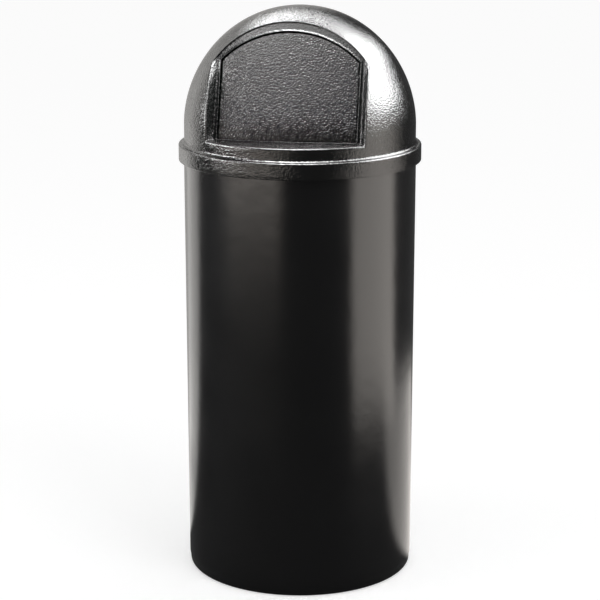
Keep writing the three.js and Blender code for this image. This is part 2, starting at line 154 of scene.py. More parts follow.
def plastic(name, colour, roughness, grain=0.0, grain_depth=0.0, ripple_depth=0.0):
    """Moulded polyethylene: pebbles of `grain` across, over a slow ripple in the skin."""
    material, graph, shader = new_material(name)
    shader["IOR"].default_value = 1.52
    place = graph.place()

    # The colour and the gloss drift a little over the skin, as the moulding cooled.
    dark, pale = [c * 0.8 for c in colour], [c * 1.25 for c in colour]
    graph.feed(shader["Base Color"], graph.mixed(graph.noise(place, 9, 3), dark, pale))
    graph.feed(shader["Roughness"], graph.spread(
        graph.noise(place, 14, 4), roughness * 0.92, roughness * 1.1, From_Min=0.3, From_Max=0.7))

    skin = graph.bump(graph.noise(place, 30), ripple_depth)
    if grain:
        pebbles = graph.node("ShaderNodeTexVoronoi", {"feature": "SMOOTH_F1"},
                             Vector=place, Scale=1 / grain, Smoothness=0.35)
        skin = graph.bump(pebbles.outputs["Distance"], -grain_depth, skin)
        skin = graph.bump(graph.noise(place, 0.9 / grain, 3), grain_depth, skin)
    graph.feed(shader["Normal"], skin)
    return material


def profile_arc(r, z, radius, start, end, steps):
    """Points of an arc in a [radius, height] outline, between two angles in degrees."""
    turns = [math.radians(start + (end - start) * i / steps) for i in range(steps + 1)]
    return [(r + radius * math.cos(t), z + radius * math.sin(t)) for t in turns]


def new_tree(name, inputs, result):
    """A geometry tree with the given inputs: its graph, the sockets they come from, and its output."""
    tree = bpy.data.node_groups.new(name, "GeometryNodeTree")
    for label, kind in inputs.items():
        tree.interface.new_socket(name=label, in_out="INPUT", socket_type=f"NodeSocket{kind}")
    tree.interface.new_socket(name=result, in_out="OUTPUT", socket_type="NodeSocketGeometry")
    graph = Graph(tree)
    return graph, graph.node("NodeGroupInput").outputs, graph.node("NodeGroupOutput")


def painted(graph, finish, *steps):
    """Links the steps, makes their result real and gives it its material before the last."""
    real = graph.node("GeometryNodeRealizeInstances")
    graph.chain(*steps[:-1], real, graph.node("GeometryNodeSetMaterial", Material=finish), steps[-1])
    return graph.tree


def turning_tree():
    """Turns an outline of [radius, 0, height] points round the Z axis, with a draft up the wall."""
    graph, given, made = new_tree("turning", {
        "Outline": "Geometry", "Facets": "Int", "Draft": "Float", "Finish": "Material"}, "Turned")
    path_radius = 0.1
    radius, _, height = graph.split(graph.node("GeometryNodeInputPosition").outputs[0])
    wider = graph.maths("MULTIPLY_ADD", height, given["Draft"], 1)
    laid = graph.vector(
        X=graph.maths("MULTIPLY_ADD", radius, wider, -path_radius), Y=graph.times(height, -1))
    lay = graph.node("GeometryNodeSetPosition", Geometry=given["Outline"], Position=laid)
    section = graph.node("GeometryNodeMeshToCurve", Mesh=lay.outputs[0])
    path = graph.node("GeometryNodeCurvePrimitiveCircle", Radius=path_radius, Resolution=given["Facets"])
    sweep = graph.node("GeometryNodeCurveToMesh", Curve=path.outputs[0], Profile_Curve=section.outputs[0])
    merge = graph.node("GeometryNodeMergeByDistance", Distance=1e-6)
    return painted(graph, given["Finish"], sweep, merge, made)


def new_mesh(name, points, faces=(), edges=()):
    mesh = bpy.data.meshes.new(name)
    mesh.from_pydata(points, edges, faces)
    return mesh


def new_object(name, data):
    thing = bpy.data.objects.new(name, data)
    scene.collection.objects.link(thing)
    return thing


def run_tree(name, mesh, tree, values):
    """Runs a node tree on a mesh, with its named inputs, and keeps the result as a plain mesh."""
    holder = new_object(name, mesh)
    modifier = holder.modifiers.new("tree", "NODES")
    modifier.node_group = tree
    for item in tree.interface.items_tree:
        if item.in_out == "INPUT" and item.name in values:
            modifier[item.identifier] = values[item.name]
    shown = holder.evaluated_get(bpy.context.evaluated_depsgraph_get())
    result = bpy.data.meshes.new_from_object(shown)
    holder.modifiers.remove(modifier)
    holder.data = result
    return holder


def finish_mesh(piece, crease=40, seam=1e-7):
    """Closes the seams, turns the faces outwards and shades the piece smooth between creases."""
    work = bmesh.new()
    work.from_mesh(piece.data)
    bmesh.ops.remove_doubles(work, verts=work.verts, dist=seam)
    bmesh.ops.recalc_face_normals(work, faces=work.faces)
    work.to_mesh(piece.data)
    work.free()
    piece.data.shade_smooth()
    piece.data.set_sharp_from_angle(angle=math.radians(crease))
    piece.data.update()
    return piece


def turned(name, outline, material, facets, draft=0.0, place=None):
    """A turned piece from an outline of [radius, height] points, moved to its place."""
    edges = [(i, i + 1) for i in range(len(outline) - 1)]
    mesh = new_mesh(name, [(r, 0, z) for r, z in outline], edges=edges)
    piece = run_tree(name, mesh, TURNING, {"Facets": facets, "Draft": draft, "Finish": material})
    if place is not None:
        piece.data.transform(place)
    return finish_mesh(piece)


TURNING = turning_tree()
tub_plastic = plastic("container_plastic", TUB_BLACK, 0.2, ripple_depth=0.00025)

foot = FOOT_RADIUS - FOOT_INSET
inside = FOOT_RADIUS - TUB_WALL
floor_top = FLOOR_RECESS + TUB_WALL
draft = (MOUTH_RADIUS / FOOT_RADIUS - 1) / RIM_HEIGHT
bead_round = BEAD_HEIGHT / 2
bead_middle = RIM_HEIGHT - bead_round
bead_out = FOOT_RADIUS + BEAD_REACH - bead_round
wall_steps = [WALL_LOW + WALL_SPAN * i / WALL_ROWS for i in range(WALL_ROWS + 1)]
tub_outline = [
    (0, FLOOR_RECESS),
    (foot - FOOT_RING_WIDTH - FLOOR_RECESS, FLOOR_RECESS),
    *profile_arc(foot - FOOT_RING_WIDTH, FOOT_RING_ROUND, FOOT_RING_ROUND, 180, 270, 4),
    *profile_arc(foot - FOOT_ROUND, FOOT_ROUND, FOOT_ROUND, -90, 0, 8),
    (foot, FOOT_STEP_HEIGHT - STEP_FACE),
    *profile_arc(FOOT_RADIUS - STEP_ROUND, FOOT_STEP_HEIGHT + FOOT_INSET, STEP_ROUND, -60, 0, 4),
    *[(FOOT_RADIUS, z) for z in wall_steps],
    (FOOT_RADIUS, RIM_HEIGHT - BEAD_HEIGHT - BEAD_TUCK),
    *profile_arc(bead_out, bead_middle, bead_round, -80, 90, 12),
    *profile_arc(inside + MOUTH_ROLL, RIM_HEIGHT - MOUTH_ROLL, MOUTH_ROLL, 90, 180, 5),
    *[(inside, z) for z in wall_steps[::-1]],
    *profile_arc(inside - FOOT_ROUND, floor_top + FOOT_ROUND, FOOT_ROUND, 0, -90, 6),
    (0.1, floor_top),
    (0, floor_top),
]
tub = turned("container", tub_outline, tub_plastic, TUB_FACETS, draft)
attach(tub, "container")
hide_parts("container_body")


# ---- Bag retainer ----------------------------------------
# A flat black rubber band, stretched round the wall under the rolled rim to grip the bag. It is cut
# from an extruded strip, so it is matt, with a fine groove along its middle.

BAND_THICKNESS = 0.002
BAND_EDGE = 0.0006
GROOVE_HALF_WIDTH = 0.0007
GROOVE_DEPTH = 0.0005
SEAT_GAP = 0.0003
RUBBER_BLACK = (0.013, 0.013, 0.013)

rubber = plastic("rubber", RUBBER_BLACK, 0.72, grain=0.0009, grain_depth=0.00005)
band_low, band_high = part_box("bag_retainer_band")
band_in = MOUTH_RADIUS + SEAT_GAP
band_out = band_in + BAND_THICKNESS
band_foot, band_head = band_low.z + BAND_EDGE, band_high.z - BAND_EDGE
band_middle = (band_low.z + band_high.z) / 2
band = turned("bag_retainer", [
    *profile_arc(band_in + BAND_EDGE, band_foot, BAND_EDGE, 180, 270, 3),
    *profile_arc(band_out - BAND_EDGE, band_foot, BAND_EDGE, 270, 360, 3),
    (band_out, band_middle - GROOVE_HALF_WIDTH),
    (band_out - GROOVE_DEPTH, band_middle),
    (band_out, band_middle + GROOVE_HALF_WIDTH),
    *profile_arc(band_out - BAND_EDGE, band_head, BAND_EDGE, 0, 90, 3),
    *profile_arc(band_in + BAND_EDGE, band_head, BAND_EDGE, 90, 180, 3),
    (band_in, band_foot),
], rubber, TUB_FACETS)
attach(band, "container")
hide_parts("bag_retainer_band")


# ---- Lid -------------------------------------------------
# The dome top, moulded in one wall with the ring that sits over the container's rim and with the
# recessed doorway: a sill, two flared cheeks and a bowed face that leans back. Its skin is pebbled.

LID_WALL = 0.0035
SKIRT_CLEARANCE = 0.00085
SKIRT_DEPTH = 0.0262
LEDGE_ROUND = 0.0025
DOME_INSET = 0.0007
DOME_FOOT_FILLET = 0.004
DOME_STRAIGHT = 0.030
DOME_RISE = 0.189
DOME_RISE_POWER = 1.92
DOME_RADIUS_POWER = 2.03

OPENING_WIDTH = 0.250
FACE_WIDTH = 0.233
SILL_RISE = 0.0215
SILL_DEPTH = 0.0505
SILL_LIP = 0.0016
FACE_LEAN = math.radians(19.2)
FACE_BOW_RADIUS = 0.728
ARCH_LIP = 0.004
APERTURE_WIDTH = 0.221
APERTURE_ARCH_RADIUS = 0.156
ARCH_BAND = 0.017
BEAD_PROUD = 0.0013
BEAD_WIDTH = 0.003
BEAD_FOOT = 0.0004
ARCH_TUCK = 0.0006

# Rounds of the edges: aperture's back, bead, root of the bead and corners, inner corners, skirt's
# ledge inside; then the doorway's edge on the dome along the sill, the cheeks and the arch.
BACK_ROUND = 0.0008
BEAD_ROUND = 0.0013
CORNER_ROUND = 0.0012
INNER_ROUND = 0.001
INNER_LEDGE_ROUND = 0.0015
SILL_EDGE, CHEEK_EDGE, ARCH_EDGE = 0.0044, 0.003, 0.0022
EDGE_CLEAR = 0.009
# Softening of the outlines' corners: aperture, doorway's corner in front, its edges.
APERTURE_SOFT, CORNER_SOFT, EDGE_SOFT = 0.003, 0.0015, 0.002

OUTER_ROWS, INNER_ROWS = 62, 40
SIDE_COUNTS = (96, 64, 152, 64)
SIDE_TURN = math.radians(84)
LID_BLACK = (0.0045, 0.0045, 0.0045)

ledge_top = RIM_HEIGHT + SEAT_GAP + LID_WALL
spring_line = ledge_top + DOME_STRAIGHT
crown = spring_line + DOME_RISE
ring_radius = MOUTH_RADIUS + BEAD_REACH + SKIRT_CLEARANCE + LID_WALL
skirt_bottom = ledge_top - SKIRT_DEPTH
dome_radius = MOUTH_RADIUS - DOME_INSET
sill_height = ledge_top + SILL_RISE
face_at_sill = dome_radius - SILL_DEPTH


def dome_radius_at(z, inset=0.0):
    """The dome's radius at a height, or the radius of a skin inset from it."""
    rise = np.clip((z - spring_line) / (DOME_RISE - inset), 0, 1)
    return (dome_radius - inset) * (1 - rise ** DOME_RISE_POWER) ** (1 / DOME_RADIUS_POWER)


def face_y(x, z, inset=0.0):
    """Where the bowed, leaning face lies, or a skin behind it."""
    bow = FACE_BOW_RADIUS - np.sqrt((FACE_BOW_RADIUS - inset) ** 2 - x ** 2)
    return -(face_at_sill - (z - sill_height) * math.tan(FACE_LEAN) - bow / math.cos(FACE_LEAN))


def dome_y(x, z, inset=0.0):
    """Where the front of the dome lies."""
    return -np.sqrt(np.maximum(dome_radius_at(z, inset) ** 2 - x ** 2, 0))


def crossing_height(x, inset=0.0, forward=0.0):
    """Height at which the face, moved forward, runs out through the dome, for each x."""
    low, high = np.full_like(x, sill_height), np.full_like(x, crown - inset)
    for _ in range(50):
        middle = (low + high) / 2
        face = face_y(x, middle, inset) - forward / math.cos(FACE_LEAN)
        inside_dome = dome_y(x, middle, inset) < face
        low, high = np.where(inside_dome, middle, low), np.where(inside_dome, high, middle)
    return low


aperture_top = crossing_height(np.zeros(1))[0] - ARCH_BAND
arch_centre = aperture_top - APERTURE_ARCH_RADIUS


def line(start, end, steps=200):
    return np.linspace(start, end, steps)


def four_sides(half, low, head):
    """An outline's foot, right side, head and left side, from a head that runs right to left."""
    left, right = (-half, low), (half, low)
    return [line(left, right), line(right, head[0]), head, line(head[-1], left)]


def loop(sides, counts, soften):
    """Points round a closed outline of four sides, closer at its corners, which are softened."""
    step, crowding = 0.0004, 0.72
    outline = np.concatenate([side[:-1] for side in sides] + [sides[0][:1]])
    lengths = np.concatenate([[0], np.cumsum(np.linalg.norm(np.diff(outline, axis=0), axis=1))])
    total = int(lengths[-1] / step)
    even = np.arange(total) * lengths[-1] / total
    smooth = np.stack([np.interp(even, lengths, outline[:, k]) for k in range(2)], -1)
    reach = max(int(soften / step), 1)
    kernel = np.hanning(2 * reach + 3)[1:-1]
    kernel /= kernel.sum()
    pad = len(kernel) // 2
    padded = np.concatenate([smooth[-pad:], smooth, smooth[:pad]])
    smooth = np.stack([np.convolve(padded[:, k], kernel, "valid") for k in range(2)], -1)
    smooth = np.concatenate([smooth, smooth[:1]])
    even = np.append(even, lengths[-1])
    starts = np.cumsum([0] + [len(side) - 1 for side in sides])
    places = []
    for first, last, count in zip(starts, starts[1:], counts):
        t = np.arange(count) / count
        t = t - crowding * np.sin(2 * np.pi * t) / (2 * np.pi)
        places.append(lengths[first] + t * (lengths[last] - lengths[first]))
    places = np.concatenate(places)
    return np.stack([np.interp(places, even, smooth[:, k]) for k in range(2)], -1)


def arched_outline(grow, foot_height, soften, counts=SIDE_COUNTS):
    """The aperture's outline, grown all round, as [x, z] points: level foot, arched head."""
    half = APERTURE_WIDTH / 2 + grow
    radius = APERTURE_ARCH_RADIUS + grow
    spread = math.asin(half / radius)
    turn = line(spread, -spread)
    head = np.stack([radius * np.sin(turn), arch_centre + radius * np.cos(turn)], -1)
    return loop(four_sides(half, foot_height, head), counts, soften)


def on_face(outline, inset=0.0):
    """Lays [x, z] points on the face, or on a skin behind it."""
    return np.stack([outline[:, 0], face_y(outline[:, 0], outline[:, 1], inset), outline[:, 1]], -1)


def doorway(width, grow, forward, soften, drop=0.0):
    """The doorway's outline as [x, z] points, with a head where face and dome cross, or below it."""
    half = width / 2 + grow
    x = line(half, -half)
    head = np.stack([x, crossing_height(x, grow, forward) - drop], -1)
    return loop(four_sides(half, sill_height - grow, head), SIDE_COUNTS, soften)


def doorway_edge(inset, forward):
    """The doorway's edge on the dome, or on the dome's inside."""
    x, z = doorway(OPENING_WIDTH, inset, forward, EDGE_SOFT).T
    return np.stack([x, dome_y(x, z, inset), z], -1)


def rounded(before, corner, after, radius, steps, radius_in=None):
    """Rounds each corner of a row of sections, between the points before and after it."""
    radius_in = radius if radius_in is None else radius_in
    into, out = before - corner, after - corner
    reach_in = np.linalg.norm(into, axis=1, keepdims=True)
    reach_out = np.linalg.norm(out, axis=1, keepdims=True)
    start = corner + into / reach_in * np.minimum(radius_in, reach_in * 0.48)
    end = corner + out / reach_out * np.minimum(radius, reach_out * 0.48)
    rows = []
    for t in np.linspace(0, 1, steps):
        rows.append((1 - t) ** 2 * start + 2 * t * (1 - t) * corner + t ** 2 * end)
    return rows


def between(a, b, steps):
    """Sections evenly between two others."""
    return [a + (b - a) * i / (steps + 1) for i in range(1, steps + 1)]


def dome_table(inset, base):
    """Radius and height of the dome's section against the distance from the crown along it."""
    turn = np.linspace(np.pi / 2, 0, 600)
    r = (dome_radius - inset) * np.cos(turn) ** (2 / DOME_RADIUS_POWER)
    z = spring_line + (DOME_RISE - inset) * np.sin(turn) ** (2 / DOME_RISE_POWER)
    r, z = np.append(r, r[-1]), np.append(z, base)
    r[0] = 0
    return np.concatenate([[0], np.cumsum(np.hypot(np.diff(r), np.diff(z)))]), r, z


def dome_paths(start, azimuths, inset, base, steps, clear=0.0):
    """Rows of points over the dome, from `clear` past the doorway's edge to the dome's foot."""
    along, radii, heights = dome_table(inset, base)
    reach = np.interp(-start[:, 2], -heights, along)
    turn = np.arctan2(start[:, 0], -start[:, 1])
    flat_start = np.stack([reach * np.sin(turn), -reach * np.cos(turn)], -1)
    flat_end = along[-1] * np.stack([np.sin(azimuths), -np.cos(azimuths)], -1)
    skip = clear / np.linalg.norm(flat_end - flat_start, axis=1, keepdims=True)
    rows = []
    for t in np.linspace(skip, 1, steps):
        flat = flat_start + (flat_end - flat_start) * t
        distance = np.maximum(np.linalg.norm(flat, axis=1), 1e-9)
        r = np.interp(distance, along, radii)
        z = np.interp(distance, along, heights)
        rows.append(np.stack([flat[:, 0] / distance * r, flat[:, 1] / distance * r, z], -1))
    return rows


def band_faces(steps, rows, count):
    """Faces between each of the first `steps` rows of points and the next, round and round."""
    faces = []
    for i in range(steps):
        a, b = i * count, (i + 1) % rows * count
        faces += [(a + k, a + (k + 1) % count, b + (k + 1) % count, b + k) for k in range(count)]
    return faces


def stitch(name, rows, material, capped=False):
    """Skins rows of points: the last row joins the first, or both are capped with a flat face."""
    count, last = len(rows[0]), len(rows) - 1
    faces = band_faces(last if capped else last + 1, len(rows), count)
    if capped:
        faces += [tuple(range(count)), tuple(range(last * count, (last + 1) * count))]
    piece = new_object(name, new_mesh(name, np.concatenate(rows).tolist(), faces))
    piece.data.materials.append(material)
    return piece


def turned_rows(outline):
    """Rows round the lid, one at each [radius, height] point."""
    return [np.stack([r * np.sin(azimuths), -r * np.cos(azimuths), np.full_like(azimuths, z)], -1)
            for r, z in outline]


# Round the doorway, outside and inside.
aperture = arched_outline(0, sill_height + SILL_LIP, APERTURE_SOFT)
aperture_front = on_face(aperture, -BEAD_PROUD)
bead_root = on_face(arched_outline(BEAD_WIDTH, sill_height + BEAD_FOOT, APERTURE_SOFT))
aperture_back = on_face(aperture, LID_WALL)
lip_drop = ARCH_LIP * math.sin(FACE_LEAN)
corner_out = on_face(doorway(FACE_WIDTH, 0, ARCH_LIP, CORNER_SOFT, lip_drop))
edge_out = doorway_edge(0, ARCH_LIP)
corner_in = on_face(doorway(FACE_WIDTH, LID_WALL, 0, EDGE_SOFT, ARCH_TUCK), LID_WALL)
edge_in = doorway_edge(LID_WALL, 0)

# Each path over the dome ends at an azimuth of its foot: straight down in front, fanned out behind.
foot_counts = np.cumsum((0,) + SIDE_COUNTS)
corner_turn = math.asin(OPENING_WIDTH / 2 / dome_radius)
azimuths = np.interp(
    np.arange(foot_counts[-1]), foot_counts,
    [-corner_turn, corner_turn, SIDE_TURN, 2 * math.pi - SIDE_TURN, 2 * math.pi - corner_turn],
)
front = slice(foot_counts[0], foot_counts[1])
azimuths[front] = np.arctan2(edge_out[front, 0], -edge_out[front, 1])

foot_top = ledge_top + DOME_FOOT_FILLET
over = dome_paths(edge_out, azimuths, 0, foot_top, OUTER_ROWS, clear=EDGE_CLEAR)
inner_base = ledge_top - LID_WALL
under = dome_paths(edge_in, azimuths, LID_WALL, inner_base, INNER_ROWS)[::-1]

skirt_inside = ring_radius - LID_WALL
skirt_edge = skirt_bottom + BACK_ROUND
inner_ledge = (skirt_inside - INNER_LEDGE_ROUND, inner_base - INNER_LEDGE_ROUND)
edge_reach = np.where(edge_out[:, 2:] > sill_height + 0.001, CHEEK_EDGE, SILL_EDGE)
edge_reach[foot_counts[2]:foot_counts[3]] = ARCH_EDGE
skirt = [
    *profile_arc(dome_radius + DOME_FOOT_FILLET, foot_top, DOME_FOOT_FILLET, 180, 270, 6)[1:],
    *profile_arc(ring_radius - LEDGE_ROUND, ledge_top - LEDGE_ROUND, LEDGE_ROUND, 90, 0, 7),
    (ring_radius, ledge_top - 0.008), (ring_radius, ledge_top - 0.017),
    *profile_arc(ring_radius - BACK_ROUND, skirt_edge, BACK_ROUND, 0, -90, 4),
    *profile_arc(skirt_inside + BACK_ROUND, skirt_edge, BACK_ROUND, 270, 180, 4),
    (skirt_inside, ledge_top - 0.015),
    *profile_arc(*inner_ledge, INNER_LEDGE_ROUND, 0, 90, 4),
]
lid_rows = [
    *rounded(corner_in, aperture_back, aperture_front, BACK_ROUND, 4),
    *rounded(aperture_back, aperture_front, bead_root, BEAD_ROUND, 6),
    *rounded(aperture_front, bead_root, corner_out, CORNER_ROUND, 4),
    *between(bead_root, corner_out, 2),
    *rounded(bead_root, corner_out, edge_out, CORNER_ROUND, 5),
    *between(corner_out, edge_out, 4),
    *rounded(corner_out, edge_out, over[0], edge_reach, 9),
    *over,
    *turned_rows(skirt),
    *under[:-1],
    *rounded(under[-2], edge_in, corner_in, INNER_ROUND, 4, radius_in=1),
    *rounded(edge_in, corner_in, aperture_back, INNER_ROUND, 4),
    *between(corner_in, aperture_back, 2),
]
lid_plastic = plastic(
    "lid_plastic", LID_BLACK, 0.13, grain=0.0025, grain_depth=0.0004, ripple_depth=0.0001)
dome = finish_mesh(stitch("dome_lid", lid_rows, lid_plastic), crease=60)
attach(dome, "lid")
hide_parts("dome_top")


# ---- Hinge lugs ------------------------------------------
# Two lugs moulded on the underside of the dome, one beyond each end of the door's knuckles. Each is a
# plate with a round eye for the hinge rod, and its head runs up into the dome's wall.

HINGE_DROP = 0.005
HINGE_SETBACK = 0.0228
ROD_RADIUS = 0.003
ROD_CLEARANCE = 0.0004
LUG_RADIUS = 0.0075
LUG_EDGE = 0.0006
LUG_SINK = 0.001
EYE_TURNS = np.arange(64) * 2 * np.pi / 64
SIDES = ((-1, "left"), (1, "right"))

hinge_z = aperture_top - HINGE_DROP
hinge_y = float(face_y(0, hinge_z)) + HINGE_SETBACK
lug_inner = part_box("hinge_washer_right")[1].x + SEAT_GAP
lug_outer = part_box("push_nut_right")[0].x - SEAT_GAP


def ceiling(x, y):
    """Height of the inside of the dome over a place."""
    share = math.hypot(x, y) / (dome_radius - LID_WALL)
    rise = (1 - share ** DOME_RADIUS_POWER) ** (1 / DOME_RISE_POWER)
    return spring_line + (DOME_RISE - LID_WALL) * rise


def eye_rows(near, far, outline, bore_edge, rim_edge, shares=()):
    """Sections of an eye on the hinge line: its bore, a bevelled cheek, its outline, the other cheek."""
    bore = np.full(len(outline), ROD_RADIUS + ROD_CLEARANCE)
    rows = []
    for x, sign in ((near, 1), (far, -1)):
        cheek = [(bore, x + sign * bore_edge), (bore + bore_edge, x),
                 *[(bore + (outline - bore) * share, x) for share in shares],
                 (outline - rim_edge, x), (outline, x + sign * rim_edge)]
        for reach, at in cheek[::sign]:
            rows.append(np.stack([np.full(len(outline), at), hinge_y + reach * np.cos(EYE_TURNS),
                                  hinge_z + reach * np.sin(EYE_TURNS)], -1))
    return rows


def lug_rows(side):
    """A lug is round below the rod, and runs straight up into the dome's wall."""
    middle = side * (lug_inner + lug_outer) / 2
    half = (lug_outer - lug_inner) / 2
    outline = []
    for turn in EYE_TURNS:
        c, s = math.cos(turn), math.sin(turn)
        reach = LUG_RADIUS
        if s > 0:
            reach = LUG_RADIUS / max(abs(c), 1e-6)
            top = ceiling(middle, hinge_y + LUG_RADIUS * c / max(s, abs(c))) + LUG_SINK - hinge_z
            reach = min(reach, top / s)
        outline.append(reach)
    return eye_rows(middle - half, middle + half, np.array(outline), LUG_EDGE, LUG_EDGE, [0.5])


for side, hand in SIDES:
    lug = finish_mesh(stitch(f"hinge_lug_{hand}", lug_rows(side), lid_plastic))
    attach(lug, "lid")
    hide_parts("dome_top")


# ---- Push door -------------------------------------------
# One moulded panel, pebbled like the lid: a raised field that fills the aperture, in a thinner rim
# that closes behind the face. It is hollow behind, with ribs, and hangs from two knuckles.

DOOR_WALL = 0.0035
FIELD_GAP = 0.0024
FIELD_RECESS = 0.0025
FIELD_ROUND = 0.0026
FIELD_ROOT_ROUND = 0.0006
FOOT_ROLL = 0.0018
FOOT_ROLL_HEIGHT = 0.026
RIM_OVERLAP = 0.007
RIM_CLEARANCE = 0.0017
RIM_ROUND = 0.001
HOLLOW_ROUND = 0.0009
SKIN_EDGE = 0.2
SKIN_SPACING = 0.0045
DOOR_SEAM = 2e-6
DOOR_CORNER = 0.006
DOOR_COUNTS = (72, 48, 96, 48)
DOOR_BLACK = (0.0042, 0.0042, 0.004)

rim_front = LID_WALL + RIM_CLEARANCE
rim_back = rim_front + DOOR_WALL
field_back = FIELD_RECESS + DOOR_WALL
field_foot = sill_height + FIELD_GAP


def front_inset(z):
    """The field's front rolls back a little towards its foot."""
    share = np.clip((field_foot + FOOT_ROLL_HEIGHT - z) / FOOT_ROLL_HEIGHT, 0, 1)
    return FIELD_RECESS + FOOT_ROLL * share ** 2


def on_door(flat, inset=None):
    """Lays [x, z] points on the field's front, or at an inset of their own."""
    return on_face(flat, front_inset(flat[:, 1]) if inset is None else inset)


def door_outline(grow, inset=None):
    """The aperture's outline, grown all round, with the door's rounder corners."""
    return on_door(arched_outline(grow, sill_height - grow, DOOR_CORNER, DOOR_COUNTS), inset)


def panel_points(outline, spacing):
    """Points over the inside of a flat outline, in staggered rows, clear of its edge."""
    first_row, row_pitch, clear = 0.7 * spacing, 0.87 * spacing, 0.6 * spacing
    low, high = outline.min(0), outline.max(0)
    start, end = outline, np.roll(outline, -1, 0)
    found = []
    for row, z in enumerate(np.arange(low[1] + first_row, high[1], row_pitch)):
        run, rise = (end - start).T
        crossing = start[:, 0] + run * (z - start[:, 1]) / (rise + 1e-12)
        passes = (start[:, 1] > z) != (end[:, 1] > z)
        for x in np.arange(low[0] + spacing * (0.5 + 0.5 * (row % 2)), high[0], spacing):
            inside_outline = (passes & (x < crossing)).sum() % 2
            if inside_outline and np.min(np.hypot(start[:, 0] - x, start[:, 1] - z)) > clear:
                found.append((x, z))
    return np.array(found)


def panel(rim, inset=None):
    """Fills a ring of points on the bowed face with an even skin of triangles."""
    flat = rim[:, [0, 2]]
    inner = panel_points(flat, SKIN_SPACING)
    every = [Vector(p) for p in np.concatenate([flat, inner])]
    border = [(i, (i + 1) % len(flat)) for i in range(len(flat))]
    points, _, faces, *_ = delaunay_2d_cdt(every, border, [], 1, 1e-7)
    return on_door(np.array([tuple(p) for p in points]), inset), faces


door_front = door_outline(-FIELD_GAP - FIELD_ROUND)
field_edge = door_outline(-FIELD_GAP)
field_root = door_outline(-FIELD_GAP, rim_front)
rim_edge = door_outline(RIM_OVERLAP, rim_front)
rim_edge_back = door_outline(RIM_OVERLAP, rim_back)
hollow_mouth = door_outline(-FIELD_GAP - DOOR_WALL, rim_back)
hollow_root = door_outline(-FIELD_GAP - DOOR_WALL, field_back)
door_back = door_outline(-FIELD_GAP - 2 * DOOR_WALL, field_back)
door_rows = [
    *rounded(door_front, field_edge, field_root, FIELD_ROUND, 8, radius_in=1),
    *rounded(field_edge, field_root, rim_edge, FIELD_ROOT_ROUND, 3),
    *rounded(field_root, rim_edge, rim_edge_back, RIM_ROUND, 4),
    *rounded(rim_edge, rim_edge_back, hollow_mouth, RIM_ROUND, 4),
    *rounded(rim_edge_back, hollow_mouth, hollow_root, FIELD_ROOT_ROUND, 3),
    *rounded(hollow_mouth, hollow_root, door_back, HOLLOW_ROUND, 4),
]
door_rows[0] = on_door((door_front + (door_rows[0] - door_front) * SKIN_EDGE)[:, [0, 2]])


def door_mesh():
    """The two skins of the field, joined by the rows that run round the field, rim and hollow."""
    points = [np.concatenate(door_rows)]
    faces = band_faces(len(door_rows) - 1, len(door_rows), len(door_front))
    for rim, inset in ((door_rows[0], None), (door_rows[-1], field_back)):
        skin, skin_faces = panel(rim, inset)
        start = sum(len(p) for p in points)
        points.append(skin)
        faces += [tuple(start + k for k in face) for face in skin_faces]
    return new_mesh("push_door", np.concatenate(points).tolist(), faces)


door_plastic = plastic(
    "door_plastic", DOOR_BLACK, 0.14, grain=0.0025, grain_depth=0.00065, ripple_depth=0.0001)
door_panel = new_object("door_panel", door_mesh())
door_panel.data.materials.append(door_plastic)
finish_mesh(door_panel, seam=DOOR_SEAM)
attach(door_panel, "door")
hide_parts("push_door")


# ---- Door ribs and knuckles ------------------------------
# Three upright ribs stiffen the back of the door's field, and two knuckles on short arms carry it on
# the hinge rod. All are moulded in one with the door.

RIB_COUNT = 3
RIB_THICKNESS = 0.0025
RIB_DEPTH = 0.007
RIB_SPACING = 0.062
RIB_SINK = 0.0008
RIB_TIP = 0.002
RIB_SLOPE = 0.008
KNUCKLE_RADIUS = 0.007
KNUCKLE_WIDTH = 0.010
KNUCKLE_INNER = 0.044
KNUCKLE_BORE_EDGE = 0.0005
KNUCKLE_EDGE = 0.0006
ARM_TOP = 0.45


def prism_rows(flat, near, far, edge=0.0005):
    """Sections along X of a bar with a closed [y, z] outline, its ends bevelled."""
    middle = flat.mean(0)
    short = middle + (flat - middle) * (1 - edge / np.abs(flat - middle).max())
    return [np.stack([np.full(len(outline), x), *outline.T], -1) for outline, x in (
        (short, near), (flat, near + edge), (flat, far - edge), (short, far))]


def rib_tree():
    """Sets copies of a rib side by side, each moved back as the door's face bows."""
    graph, given, made = new_tree("door_ribs", {
        "Rib": "Geometry", "Count": "Int", "Spacing": "Float", "Bow radius": "Float",
        "Finish": "Material"}, "Ribs")
    maths, bow = graph.maths, given["Bow radius"]
    reach = graph.times(maths("SUBTRACT", given["Count"], 1), 0.5)
    first = graph.times(graph.times(reach, given["Spacing"]), -1)
    row = graph.node("GeometryNodeMeshLine", Count=given["Count"], Start_Location=graph.vector(X=first),
                     Offset=graph.vector(X=given["Spacing"]))
    x, _, _ = graph.split(graph.node("GeometryNodeInputPosition").outputs[0])
    square = maths("SUBTRACT", maths("POWER", bow, 2), maths("POWER", maths("ABSOLUTE", x), 2))
    depth = maths("DIVIDE", maths("SUBTRACT", bow, maths("SQRT", square)), math.cos(FACE_LEAN))
    lay = graph.node("GeometryNodeSetPosition", Geometry=row.outputs[0], Offset=graph.vector(Y=depth))
    copies = graph.node("GeometryNodeInstanceOnPoints", Points=lay.outputs[0], Instance=given["Rib"])
    return painted(graph, given["Finish"], copies, made)


